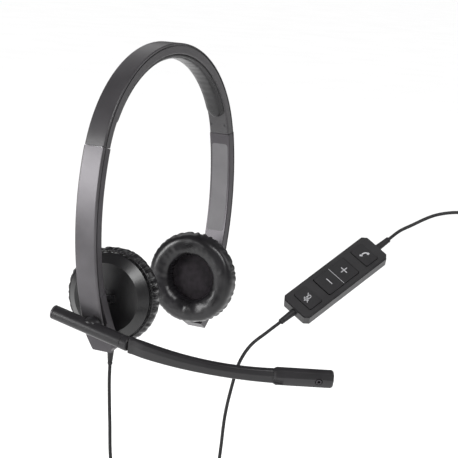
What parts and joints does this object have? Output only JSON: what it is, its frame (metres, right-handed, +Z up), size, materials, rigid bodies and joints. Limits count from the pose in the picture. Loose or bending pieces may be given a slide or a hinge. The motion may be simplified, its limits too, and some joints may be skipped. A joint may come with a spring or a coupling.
{
  "type": "office headset",
  "caption": "Over-the-head wired headset with on-ear cushions, a swinging microphone boom and an in-line call controller on its plug-ended cord.",
  "frame": {"origin": "middle of the head between the two ear cushions, at the height of the cups' centres, as worn", "axes": "+Z up towards the crown of the band, -Y forward as the wearer faces, -X towards the wearer's right ear, which carries the boom"},
  "size_m": [0.2512, 0.2244, 0.3157],
  "materials": {
    "band_plastic": "fine satin moulded plastic, dark grey",
    "arm_satin": "satin painted plastic, mid grey",
    "frame_plastic": "moulded plastic, charcoal",
    "boom_plastic": "moulded plastic, near black",
    "leatherette": "smooth black leatherette with a soft sheen",
    "speaker_fabric": "thin acoustic cloth, black with a purple cast",
    "pad_foam": "matte closed-cell pad, black",
    "pin_steel": "bright steel",
    "cord_rubber": "black flexible jacket",
    "remote_plastic": "fine matte moulded plastic, charcoal",
    "board_green": "circuit board lacquer",
    "plug_steel": "plated steel shell",
    "plug_white": "white contact carrier"
  },
  "bodies": {
    "headband": {"band_cover": "band_plastic", "band_frame": "band_plastic", "band_spring": "pin_steel", "head_pad": "pad_foam", "band_screws": "pin_steel"},
    "right_arm": {"right_arm_cover": "arm_satin", "right_arm_frame": "frame_plastic", "right_arm_liner": "arm_satin", "right_click_spring": "pin_steel", "right_arm_screws": "pin_steel", "right_swivel_pin": "pin_steel", "boom_axle": "pin_steel", "cord_relief": "cord_rubber", "headset_cord": "cord_rubber", "remote_top": "remote_plastic", "remote_bottom": "remote_plastic", "remote_board": "board_green", "remote_switches": "pin_steel", "remote_screws": "pin_steel", "remote_relief_in": "cord_rubber", "remote_relief_out": "cord_rubber", "usb_cord": "cord_rubber", "cord_coil": "cord_rubber", "cord_tie": "cord_rubber", "plug_cord": "cord_rubber", "plug_relief": "cord_rubber", "plug_body": "cord_rubber", "plug_shell": "plug_steel", "plug_tongue": "plug_white"},
    "left_arm": {"left_arm_cover": "arm_satin", "left_arm_frame": "frame_plastic", "left_arm_liner": "arm_satin", "left_click_spring": "pin_steel", "left_arm_screws": "pin_steel", "left_swivel_pin": "pin_steel"},
    "right_pivot": {"right_pivot_block": "frame_plastic", "right_tilt_pin": "pin_steel"},
    "left_pivot": {"left_pivot_block": "frame_plastic", "left_tilt_pin": "pin_steel"},
    "right_cup": {"right_cup_shell": "frame_plastic", "right_cup_baffle": "frame_plastic", "right_driver": "pin_steel", "right_speaker_cloth": "speaker_fabric", "right_ear_cushion": "leatherette"},
    "left_cup": {"left_cup_shell": "frame_plastic", "left_cup_baffle": "frame_plastic", "left_driver": "pin_steel", "left_speaker_cloth": "speaker_fabric", "left_ear_cushion": "leatherette"},
    "boom": {"boom_barrel": "boom_plastic", "barrel_cap": "boom_plastic", "boom_strip": "boom_plastic", "mic_housing": "boom_plastic", "mic_element": "pin_steel"},
    "mute_key": {"mute_button": "remote_plastic"},
    "volume_key": {"volume_rocker": "remote_plastic"},
    "call_key": {"call_button": "remote_plastic"}
  },
  "joints": [
    {"name": "right_arm_adjust", "type": "hinge", "parent": "headband", "child": "right_arm", "pos_m": [0.09266, 0, 0.0549], "axis": [0, -1, 0], "range_deg": [0, 8.3]},
    {"name": "left_arm_adjust", "type": "hinge", "parent": "headband", "child": "left_arm", "pos_m": [-0.09266, 0, 0.0549], "axis": [0, 1, 0], "range_deg": [0, 8.3]},
    {"name": "right_cup_swivel", "type": "hinge", "parent": "right_arm", "child": "right_pivot", "pos_m": [-0.062, 0, 0], "axis": [0, 0, 1], "range_deg": [-18, 2]},
    {"name": "left_cup_swivel", "type": "hinge", "parent": "left_arm", "child": "left_pivot", "pos_m": [0.062, 0, 0], "axis": [0, 0, 1], "range_deg": [-18, 2]},
    {"name": "right_cup_tilt", "type": "hinge", "parent": "right_pivot", "child": "right_cup", "pos_m": [-0.05853, 0.00049, 0], "axis": [-0.1392, 0.9903, 0], "range_deg": [-8, 2]},
    {"name": "left_cup_tilt", "type": "hinge", "parent": "left_pivot", "child": "left_cup", "pos_m": [0.05853, -0.00049, 0], "axis": [0.1392, -0.9903, 0], "range_deg": [-8, 2]},
    {"name": "boom_swing", "type": "hinge", "parent": "right_arm", "child": "boom", "pos_m": [-0.0756, -0.002, -0.015], "axis": [-0.9397, 0, -0.342], "range_deg": [-40, 200]},
    {"name": "mute_press", "type": "slide", "parent": "right_arm", "child": "mute_key", "axis": [0.6098, 0.3445, -0.7137], "range_m": [0, 0.0006], "stiffness_N_per_m": 600},
    {"name": "call_press", "type": "slide", "parent": "right_arm", "child": "call_key", "axis": [0.6098, 0.3445, -0.7137], "range_m": [0, 0.0006], "stiffness_N_per_m": 600},
    {"name": "volume_tilt", "type": "hinge", "parent": "right_arm", "child": "volume_key", "pos_m": [0.06639, -0.09835, 0.01071], "axis": [0.0841, 0.8674, 0.4905], "range_deg": [-1.8, 1.8], "stiffness_Nm_per_rad": 0.12}
  ]
}
